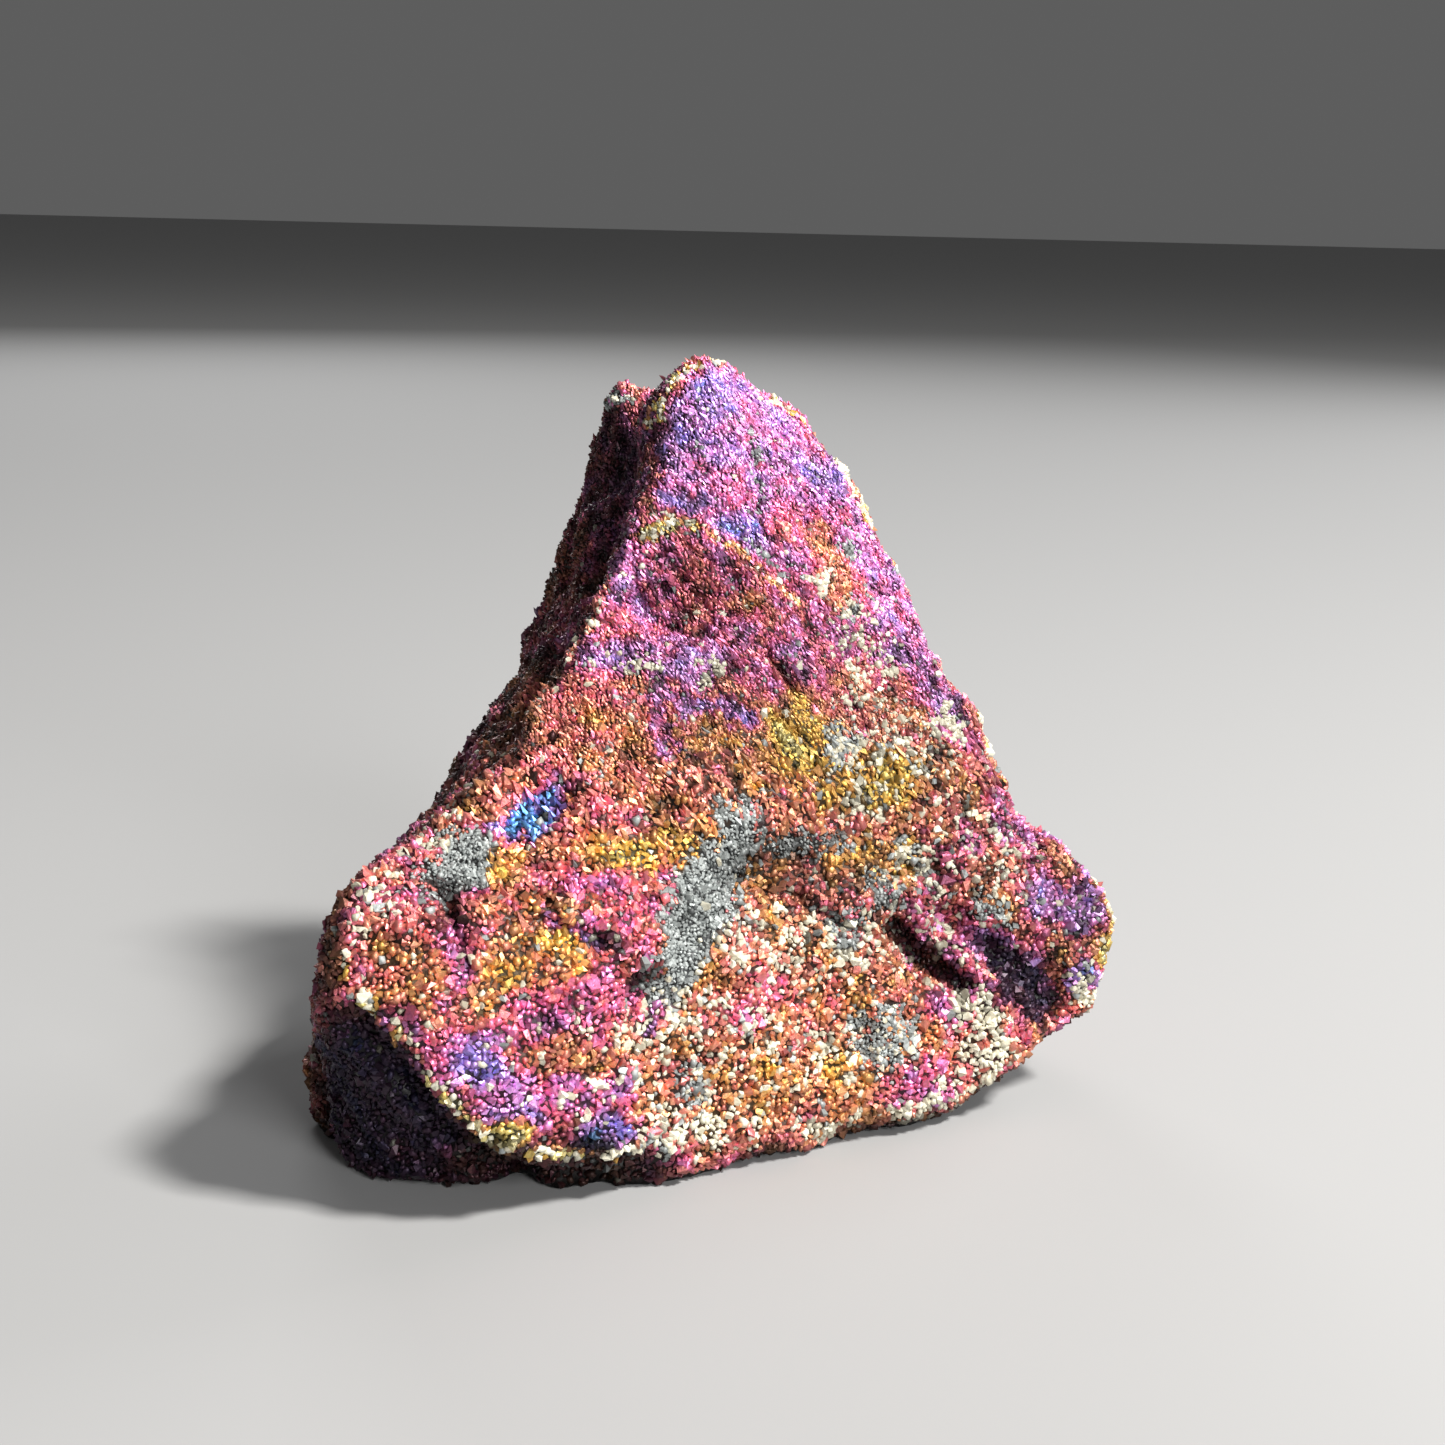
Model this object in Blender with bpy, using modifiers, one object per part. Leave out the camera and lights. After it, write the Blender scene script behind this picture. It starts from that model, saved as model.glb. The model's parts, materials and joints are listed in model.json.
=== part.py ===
"""Peacock ore: one broken lump of tarnished copper and iron sulphide, a lopsided pyramid about as high as it is wide.

The broad broken face leans back and looks to the front and the right. A steep dark side drops from its left edge,
the lower left corner bulges over an undercut, a lump stands out at the lower right, and a second, lower summit
stands behind the first. The lump rests on a flat patch. Lengths are in millimetres until the last step.
X is to the right, Y to the back and Z up.
"""
import math
import random

import bmesh
import bpy
import numpy as np
from mathutils import Vector, kdtree, noise

NAME = "peacock_ore"
MM = 0.001

# Ridge lines of the lump, each from the foot to the top, going round it from the left edge of the broad face.
RIDGE_LINES = {
    "left_edge_of_face": ((-29.8, 1.5, 1.0), (-31.2, -1.5, 10.0), (-31.6, -6.0, 19.3), (-30.6, -3.5, 25.6),
                          (-23.9, 7.0, 30.0), (-15.6, 14.0, 38.4), (-9.5, 20.0, 49.5), (-7.8, 26.5, 57.1),
                          (-6.6, 33.0, 64.0)),
    "lower_left": ((-26.6, 0.8, 0.8), (-27.4, -3.0, 8.0), (-26.8, -8.4, 15.8), (-26.0, -4.8, 24.8),
                   (-20.0, 6.0, 30.1), (-12.6, 13.5, 38.8), (-7.5, 20.2, 48.8), (-6.3, 26.2, 57.2),
                   (-5.8, 32.4, 65.2)),
    "bulge": ((-22.4, 0.5, 0.6), (-21.2, -9.2, 10.2), (-22.0, -8.2, 17.0), (-21.0, -4.4, 24.2),
              (-15.9, 5.0, 30.1), (-9.8, 13.0, 39.2), (-5.4, 20.5, 48.1), (-4.8, 26.0, 57.3),
              (-4.8, 32.0, 66.2)),
    "bulge_right_side": ((-14.4, 0.5, 0.3), (-14.8, -7.2, 6.2), (-13.6, -6.3, 14.1), (-12.6, -3.5, 23.2),
                         (-8.3, 4.0, 30.1), (-3.7, 13.0, 39.8), (-1.4, 21.0, 48.2), (-1.7, 26.0, 57.5),
                         (-3.0, 31.8, 67.6)),
    "valley": ((-5.6, 2.2, 0.2), (-5.5, -1.6, 3.4), (-5.3, -1.0, 13.9), (-3.1, 2.0, 22.5),
               (0.0, 8.0, 29.6), (2.4, 15.5, 39.3), (2.6, 21.5, 48.2), (1.5, 26.5, 57.5),
               (-1.0, 32.0, 67.4)),
    "right_of_valley": ((8.0, 10.0, 0.0), (7.0, 7.8, 1.6), (6.4, 7.5, 11.9), (7.1, 10.5, 21.7),
                        (9.7, 15.0, 29.7), (9.2, 20.0, 38.6), (6.7, 23.5, 47.9), (4.7, 28.0, 57.5),
                        (1.6, 33.5, 65.3)),
    "right_front": ((17.5, 17.5, 0.0), (19.2, 14.0, 1.8), (19.1, 14.5, 11.5), (19.0, 17.0, 21.2),
                    (19.0, 21.0, 28.4), (15.8, 25.0, 37.6), (10.9, 27.0, 47.9), (7.9, 30.0, 57.3),
                    (4.4, 35.0, 63.9)),
    "right_edge_of_face": ((27.0, 28.0, 1.5), (34.6, 24.5, 7.2), (37.6, 27.0, 13.0), (34.2, 28.0, 21.3),
                           (27.4, 28.5, 27.2), (22.6, 30.0, 37.2), (15.9, 32.0, 47.5), (11.1, 34.0, 56.6),
                           (6.9, 38.0, 62.6)),
    "back_right": ((26.0, 40.0, 0.0), (31.0, 41.0, 7.0), (32.5, 41.0, 14.0), (29.5, 42.0, 21.0),
                   (24.0, 43.0, 29.0), (18.5, 44.0, 38.0), (13.0, 44.0, 47.0), (8.0, 43.5, 56.0),
                   (3.5, 42.0, 62.0)),
    "back": ((12.0, 51.0, 0.0), (14.0, 55.0, 7.0), (13.0, 56.5, 15.0), (11.0, 56.0, 24.0),
             (8.0, 55.0, 32.0), (5.0, 53.0, 40.0), (1.5, 51.0, 48.0), (-1.0, 49.0, 55.0),
             (-3.0, 45.0, 61.0)),
    "back_left": ((-12.0, 53.0, 0.0), (-14.0, 56.0, 7.0), (-16.5, 58.0, 15.0), (-16.5, 58.0, 23.0),
                  (-15.5, 57.0, 31.0), (-13.5, 55.5, 39.0), (-12.0, 53.0, 47.0), (-10.5, 50.0, 54.5),
                  (-9.0, 45.0, 60.0)),
    "left_edge": ((-30.5, 39.0, 0.0), (-32.5, 41.0, 6.0), (-32.0, 42.0, 13.0), (-28.4, 41.0, 20.9),
                  (-24.9, 43.0, 27.6), (-20.4, 45.0, 36.6), (-17.7, 46.0, 43.6), (-15.0, 45.0, 50.8),
                  (-10.9, 41.0, 64.6)),
    "left_side": ((-35.6, 14.0, -0.5), (-36.4, 14.0, 4.5), (-34.7, 10.5, 12.5), (-32.3, 12.0, 20.0),
                  (-25.4, 20.0, 28.5), (-18.0, 27.0, 37.6), (-12.2, 32.0, 48.1), (-10.2, 34.0, 56.3),
                  (-8.2, 37.0, 61.2)),
}
BACK_OF_SUMMIT = (-2.6, 36.5, 66.2)
BASE_CENTRE = (-1.0, 26.0)
BASE_SHARE = 0.72  # of the foot's width, where the underside is below the resting plane
BASE_DEPTH = 2.2

# Broken facets: spacing, tilt in degrees, offset, how much of each facet is flat, and the deepest change.
LARGE_FACETS = {"seed": 4, "spacing": 9.0, "tilt": 8.0, "offset": 0.35, "flat": 0.6, "most": 1.0}
SMALL_FACETS = {"seed": 9, "spacing": 4.0, "tilt": 9.0, "offset": 0.15, "flat": 0.6, "most": 0.5}

# Marks on the surface: how wide, how deep (a minus sign raises it), and the places it runs through.
MARKS = {
    "seam_between_upper_faces": (1.6, 0.7, ((1.5, 31.5, 64.5), (2.0, 29.0, 60.5), (3.0, 26.0, 55.5),
                                            (4.0, 23.5, 50.5), (6.5, 23.0, 48.0), (11.5, 26.0, 46.0))),
    "upper_ledge": (1.4, -0.35, ((-7.0, 23.0, 54.0), (-3.5, 22.5, 53.0), (0.5, 22.5, 50.5), (4.0, 22.0, 48.0))),
    "scoop_under_upper_ledge": (3.6, 0.35, ((-3.5, 20.5, 48.5), (1.0, 21.0, 46.5))),
    "crack_by_left_edge": (0.9, 0.9, ((-8.5, 20.5, 50.0), (-6.5, 19.5, 47.0), (-4.0, 19.0, 45.5))),
    "shelf_across_face": (1.5, -0.8, ((-12.5, 15.5, 43.0), (-7.5, 16.0, 43.5), (-2.0, 15.5, 42.5))),
    "fold_under_shelf": (1.8, 0.9, ((-6.5, 13.0, 40.0), (-2.0, 13.0, 39.5), (3.0, 15.5, 39.5))),
    "gash": (0.9, 1.5, ((5.0, 17.5, 40.0), (7.0, 18.0, 38.0))),
    "lower_ledge": (1.6, -0.9, ((-11.0, 4.0, 30.8), (-6.5, 4.5, 30.8), (-1.5, 7.5, 30.5))),
    "hollow_under_lower_ledge": (1.8, 0.9, ((-11.0, 3.0, 27.5), (-6.0, 3.5, 27.5), (-1.5, 5.5, 26.5))),
    "valley_down_face": (2.8, 1.1, ((2.0, 9.5, 29.0), (-0.5, 5.5, 25.0), (-3.0, 1.0, 21.0), (-5.5, -1.0, 15.0),
                                    (-5.5, -1.0, 9.0), (-5.0, -1.0, 4.0))),
    "crevice_on_bulge": (1.0, 1.5, ((-22.5, -3.0, 26.0), (-21.0, -5.0, 25.0), (-20.0, -5.5, 23.5))),
    "crevice_beside_bulge": (0.9, 1.0, ((-16.0, -4.0, 24.5), (-13.0, -3.0, 24.0), (-9.5, -1.0, 22.0),
                                        (-7.5, -1.0, 18.5))),
    "fold_low_on_bulge": (1.2, 0.8, ((-17.5, -7.0, 17.0), (-14.0, -6.5, 13.0), (-12.0, -6.0, 8.0))),
    "pocket_under_left_edge": (1.6, 1.2, ((-29.0, -6.0, 16.5), (-27.0, -7.5, 14.0), (-25.0, -7.5, 12.0))),
    "brow_over_right_patch": (2.4, -0.8, ((0.5, 9.0, 29.0), (5.0, 11.5, 29.0), (9.0, 14.0, 30.0))),
    "first_right_hollow": (1.7, 2.8, ((16.5, 14.5, 18.5), (19.0, 16.0, 16.5), (21.5, 17.0, 13.5))),
    "second_right_hollow": (2.0, 2.8, ((22.5, 18.5, 18.0), (26.0, 20.0, 15.5), (30.0, 21.5, 12.0),
                                       (33.0, 23.0, 8.5))),
    "rib_between_hollows": (1.6, -0.8, ((22.0, 17.5, 15.5), (24.5, 18.0, 11.5), (26.0, 18.0, 6.5))),
    "crease_above_hollows": (1.4, 1.0, ((16.5, 18.5, 25.5), (21.0, 18.0, 21.0), (23.5, 19.5, 18.0))),
    "lump_at_right": (4.0, -1.2, ((33.0, 26.0, 17.0),)),
    "corner_above_lump": (2.0, 1.1, ((29.5, 26.5, 24.5), (29.0, 30.0, 25.5))),
    "step_in_right_edge": (1.3, 0.9, ((21.0, 29.0, 38.0), (21.5, 31.0, 38.0))),
    "knob_by_summit": (1.5, -0.8, ((-6.5, 29.5, 63.0),)),
    "gap_between_summits": (1.5, 2.6, ((-7.0, 39.0, 63.0), (-7.8, 36.5, 61.0))),
    "groove_behind_left_edge": (2.2, 1.3, ((-10.0, 29.0, 54.0), (-13.0, 25.0, 45.0), (-18.0, 19.5, 36.0),
                                           (-24.0, 14.0, 29.0))),
    "ledge_on_dark_side": (1.8, -1.2, ((-12.5, 36.0, 52.0), (-16.0, 33.0, 43.0), (-20.5, 30.0, 35.0))),
    "fold_under_left_corner": (1.8, 1.8, ((-33.0, 6.0, 12.0), (-34.0, 6.5, 6.0), (-33.5, 7.0, 1.0))),
    "scoop_in_back": (7.0, 2.6, ((6.0, 56.0, 17.0), (0.0, 55.0, 28.0))),
    "back_ledge": (2.0, -1.2, ((-14.0, 57.0, 33.0), (-4.0, 55.5, 37.0), (7.0, 53.0, 36.0))),
    "crevice_in_back": (1.3, 1.8, ((-14.0, 57.5, 12.0), (-8.0, 57.0, 18.0), (-6.0, 56.0, 27.0))),
    "scoop_at_back_right": (5.0, 1.8, ((24.0, 46.0, 22.0), (15.0, 47.0, 36.0))),
}

VOXEL = 0.75
TRIANGLES = 10400


def cage():
    """The ridge lines joined into one closed lump, with a summit and a shallow dish of a base."""
    lines = list(RIDGE_LINES.values())
    rows = len(lines[0])
    mesh = bmesh.new()
    grid = [[mesh.verts.new(line[row]) for line in lines] for row in range(rows)]
    for lower, upper in zip(grid, grid[1:]):
        close_ring(mesh, lower, upper)
    top = mesh.verts.new(BACK_OF_SUMMIT)
    base = [mesh.verts.new(base_point(vert.co)) for vert in grid[0]]
    close_ring(mesh, base, grid[0])
    bottom = mesh.verts.new((*BASE_CENTRE, -BASE_DEPTH))
    for first, second in zip(grid[-1], grid[-1][1:] + grid[-1][:1]):
        mesh.faces.new((first, second, top))
    for first, second in zip(base, base[1:] + base[:1]):
        mesh.faces.new((second, first, bottom))
    bmesh.ops.recalc_face_normals(mesh, faces=mesh.faces)
    bmesh.ops.subdivide_edges(mesh, edges=mesh.edges, cuts=3, use_grid_fill=True)
    return as_mesh(mesh)


def close_ring(mesh, lower, upper):
    for at in range(len(lower)):
        after = (at + 1) % len(lower)
        mesh.faces.new((lower[at], lower[after], upper[after], upper[at]))


def base_point(foot):
    centre = Vector(BASE_CENTRE)
    inner = centre + (foot.xy - centre) * BASE_SHARE
    return inner.x, inner.y, -BASE_DEPTH


def as_mesh(edited):
    made = bpy.data.meshes.new(NAME)
    edited.to_mesh(made)
    edited.free()
    return made


def modified(mesh, kind, **settings):
    """A copy of the mesh with one modifier applied."""
    holder = bpy.data.objects.new("holder", mesh)
    bpy.context.scene.collection.objects.link(holder)
    modifier = holder.modifiers.new(kind, kind)
    for name, value in settings.items():
        setattr(modifier, name, value)
    bpy.context.view_layer.update()
    graph = bpy.context.evaluated_depsgraph_get()
    made = bpy.data.meshes.new_from_object(holder.evaluated_get(graph))
    bpy.data.objects.remove(holder)
    return made


def points_of(mesh):
    flat = np.empty(len(mesh.vertices) * 3)
    mesh.vertices.foreach_get("co", flat)
    return flat.reshape(-1, 3)


def normals_of(mesh):
    flat = np.empty(len(mesh.vertices) * 3)
    mesh.vertex_normals.foreach_get("vector", flat)
    return flat.reshape(-1, 3)


def move_points(mesh, points):
    mesh.vertices.foreach_set("co", points.ravel())
    mesh.update()


def spread(points, spacing, rng):
    """Places picked from the points so that no two are nearer than the spacing."""
    order = list(range(len(points)))
    rng.shuffle(order)
    cells = {}
    chosen = []
    for at in order:
        x, y, z = points[at]
        cell = (int(x // spacing), int(y // spacing), int(z // spacing))
        if is_free(points, points[at], cell, cells, spacing):
            cells.setdefault(cell, []).append(at)
            chosen.append(at)
    return chosen


def is_free(points, place, cell, cells, spacing):
    for dx in (-1, 0, 1):
        for dy in (-1, 0, 1):
            for dz in (-1, 0, 1):
                for other in cells.get((cell[0] + dx, cell[1] + dy, cell[2] + dz), ()):
                    if np.linalg.norm(points[other] - place) < spacing:
                        return False
    return True


def break_into_facets(mesh, sizes):
    """Pulls each patch of the surface towards a tilted plane of its own, as broken stone has."""
    rng = random.Random(sizes["seed"])
    points, normals = points_of(mesh), normals_of(mesh)
    chosen = spread(points, sizes["spacing"], rng)
    tree = kdtree.KDTree(len(chosen))
    planes = []
    for number, at in enumerate(chosen):
        tree.insert(points[at], number)
        lean = [rng.gauss(0, math.tan(math.radians(sizes["tilt"]))) for _ in range(3)]
        normal = Vector(normals[at] + np.array(lean)).normalized()
        lift = rng.uniform(-sizes["offset"], sizes["offset"])
        planes.append((Vector(points[at] + normals[at] * lift), normal))
    tree.balance()
    for at in range(len(points)):
        place, normal = Vector(points[at]), Vector(normals[at])
        shift = facet_shift(place, normal, tree, planes, sizes["spacing"])
        shift = max(-sizes["most"], min(sizes["most"], shift)) * sizes["flat"]
        points[at] += normals[at] * shift
    move_points(mesh, points)


def facet_shift(place, normal, tree, planes, spacing):
    """How far along its normal a point is from the planes of the patches round it, the nearest counting most."""
    total = weights = 0.0
    for _, number, distance in tree.find_n(place, 3):
        centre, facing = planes[number]
        weight = math.exp(-7.0 * (distance / spacing) ** 2)
        along = max(0.35, facing.dot(normal))
        total += weight * facing.dot(centre - place) / along
        weights += weight
    return total / max(weights, 1e-9)


def press_marks(mesh):
    """Cuts or raises each mark, smoothly to its width on both sides."""
    points, normals = points_of(mesh), normals_of(mesh)
    moves = np.zeros(len(points))
    for width, depth, run in MARKS.values():
        away = distance_to_run(points, np.array(run))
        moves -= depth * np.exp(-((away / width) ** 2))
    move_points(mesh, points + normals * moves[:, None])


def distance_to_run(points, run):
    nearest = np.linalg.norm(points - run[0], axis=1)
    for start, end in zip(run, run[1:]):
        along = np.clip((points - start) @ (end - start) / np.sum((end - start) ** 2), 0, 1)
        foot = start + along[:, None] * (end - start)
        nearest = np.minimum(nearest, np.linalg.norm(points - foot, axis=1))
    return nearest


def roughen(mesh, size, height, seed):
    points, normals = points_of(mesh), normals_of(mesh)
    for at in range(len(points)):
        place = Vector(points[at]) / size + Vector((seed, 0, 0))
        points[at] += normals[at] * height * noise.fractal(place, 0.9, 2.1, 4)
    move_points(mesh, points)


def rested(mesh):
    """The lump cut flat where it rests, with its box centred over the origin."""
    cut = bmesh.new()
    cut.from_mesh(mesh)
    everything = list(cut.verts) + list(cut.edges) + list(cut.faces)
    result = bmesh.ops.bisect_plane(cut, geom=everything, plane_co=(0, 0, 0), plane_no=(0, 0, -1), clear_outer=True)
    rim = [piece for piece in result["geom_cut"] if isinstance(piece, bmesh.types.BMEdge)]
    bmesh.ops.triangle_fill(cut, edges=rim, use_beauty=True, normal=(0, 0, -1))
    bmesh.ops.triangulate(cut, faces=cut.faces)
    bmesh.ops.recalc_face_normals(cut, faces=cut.faces)
    points = np.array([vert.co for vert in cut.verts])
    low, high = points.min(axis=0), points.max(axis=0)
    centre = (low + high) / 2
    print("box in mm", high - low, "centre before the move", centre)
    for vert in cut.verts:
        vert.co = ((vert.co.x - centre[0]) * MM, (vert.co.y - centre[1]) * MM, (vert.co.z - low[2]) * MM)
    return as_mesh(cut)


def ore_material():
    made = bpy.data.materials.new("tarnished_ore")
    made.use_nodes = True
    shader = made.node_tree.nodes["Principled BSDF"]
    shader.inputs["Base Color"].default_value = (0.42, 0.16, 0.24, 1.0)
    shader.inputs["Metallic"].default_value = 0.6
    shader.inputs["Roughness"].default_value = 0.45
    return made


def main():
    for thing in list(bpy.data.objects):
        bpy.data.objects.remove(thing)
    mesh = modified(cage(), "REMESH", mode="VOXEL", voxel_size=VOXEL)
    mesh = modified(mesh, "SMOOTH", factor=0.5, iterations=2)
    press_marks(mesh)
    break_into_facets(mesh, LARGE_FACETS)
    break_into_facets(mesh, SMALL_FACETS)
    roughen(mesh, size=5.0, height=0.22, seed=3)
    mesh = modified(mesh, "REMESH", mode="VOXEL", voxel_size=VOXEL)
    share = TRIANGLES / (2 * len(mesh.polygons))
    mesh = modified(mesh, "DECIMATE", ratio=share)
    mesh = rested(mesh)
    stone = bpy.data.objects.new(NAME, mesh)
    home = bpy.data.collections.new(NAME)
    bpy.context.scene.collection.children.link(home)
    home.objects.link(stone)
    mesh.materials.append(ore_material())


main()
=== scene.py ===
"""The finish of a peacock ore specimen: a broken lump of copper sulphide ore, tarnished in many colours.

The lump's skin is its solid, broken finer. Crystal grains stand on the skin as separate small stones:
tarnished sulphide crystals, pale grains and grey grains. The skin carries values that say how thick the
tarnish film is, how pale or grey a place is and how much darker it is painted, mostly as painted shade in
hollows, crevices and on the sides turned from the lamps and partly as dull tarnish, and each grain takes
them from where it grows.
Lengths are in millimetres until a mesh is finished. X is to the right, Y to the back and Z up.
"""

import json
import math
import random

import bmesh
import bpy
import numpy as np
from mathutils import Matrix, Vector, noise

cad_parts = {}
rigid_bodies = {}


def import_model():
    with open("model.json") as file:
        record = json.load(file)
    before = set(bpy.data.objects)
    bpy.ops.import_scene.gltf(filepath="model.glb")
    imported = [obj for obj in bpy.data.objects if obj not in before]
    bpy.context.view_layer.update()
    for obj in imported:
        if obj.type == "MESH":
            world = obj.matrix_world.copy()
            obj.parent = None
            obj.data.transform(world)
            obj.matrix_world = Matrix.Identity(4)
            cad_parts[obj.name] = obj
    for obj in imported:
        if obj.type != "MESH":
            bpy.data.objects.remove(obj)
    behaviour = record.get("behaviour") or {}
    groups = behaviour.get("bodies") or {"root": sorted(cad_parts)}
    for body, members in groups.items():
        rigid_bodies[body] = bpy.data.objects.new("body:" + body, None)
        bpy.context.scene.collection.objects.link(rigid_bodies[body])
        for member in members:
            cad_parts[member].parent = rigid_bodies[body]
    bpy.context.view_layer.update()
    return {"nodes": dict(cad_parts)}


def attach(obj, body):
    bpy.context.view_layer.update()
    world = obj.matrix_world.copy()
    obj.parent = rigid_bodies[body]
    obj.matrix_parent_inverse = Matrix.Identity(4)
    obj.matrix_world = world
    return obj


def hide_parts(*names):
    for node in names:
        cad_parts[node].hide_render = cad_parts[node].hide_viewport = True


MM = 0.001
SEED = 12

# The photo's estimated viewpoint: where the eye stands, in mm, how far it looks down and turns, in degrees,
# and its lens on a 36 mm wide film.
EYE = (-0.433, -205.363, 82.0)
LOOK_DOWN = 12.8
ROLL = 1.4
LENS = 57.3

# Colours of the tarnish film from thin to thick: film thickness from 0 to 1, then red, green and blue.
FILM_COLOURS = (
    (0.00, (0.95, 0.91, 0.74)),
    (0.10, (0.95, 0.87, 0.52)),
    (0.20, (0.96, 0.76, 0.36)),
    (0.32, (0.94, 0.68, 0.43)),
    (0.42, (0.92, 0.61, 0.49)),
    (0.52, (0.94, 0.53, 0.53)),
    (0.60, (0.96, 0.49, 0.65)),
    (0.70, (0.91, 0.60, 0.85)),
    (0.80, (0.81, 0.63, 0.90)),
    (0.90, (0.60, 0.55, 0.90)),
    (1.00, (0.46, 0.71, 0.96)),
)
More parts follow.
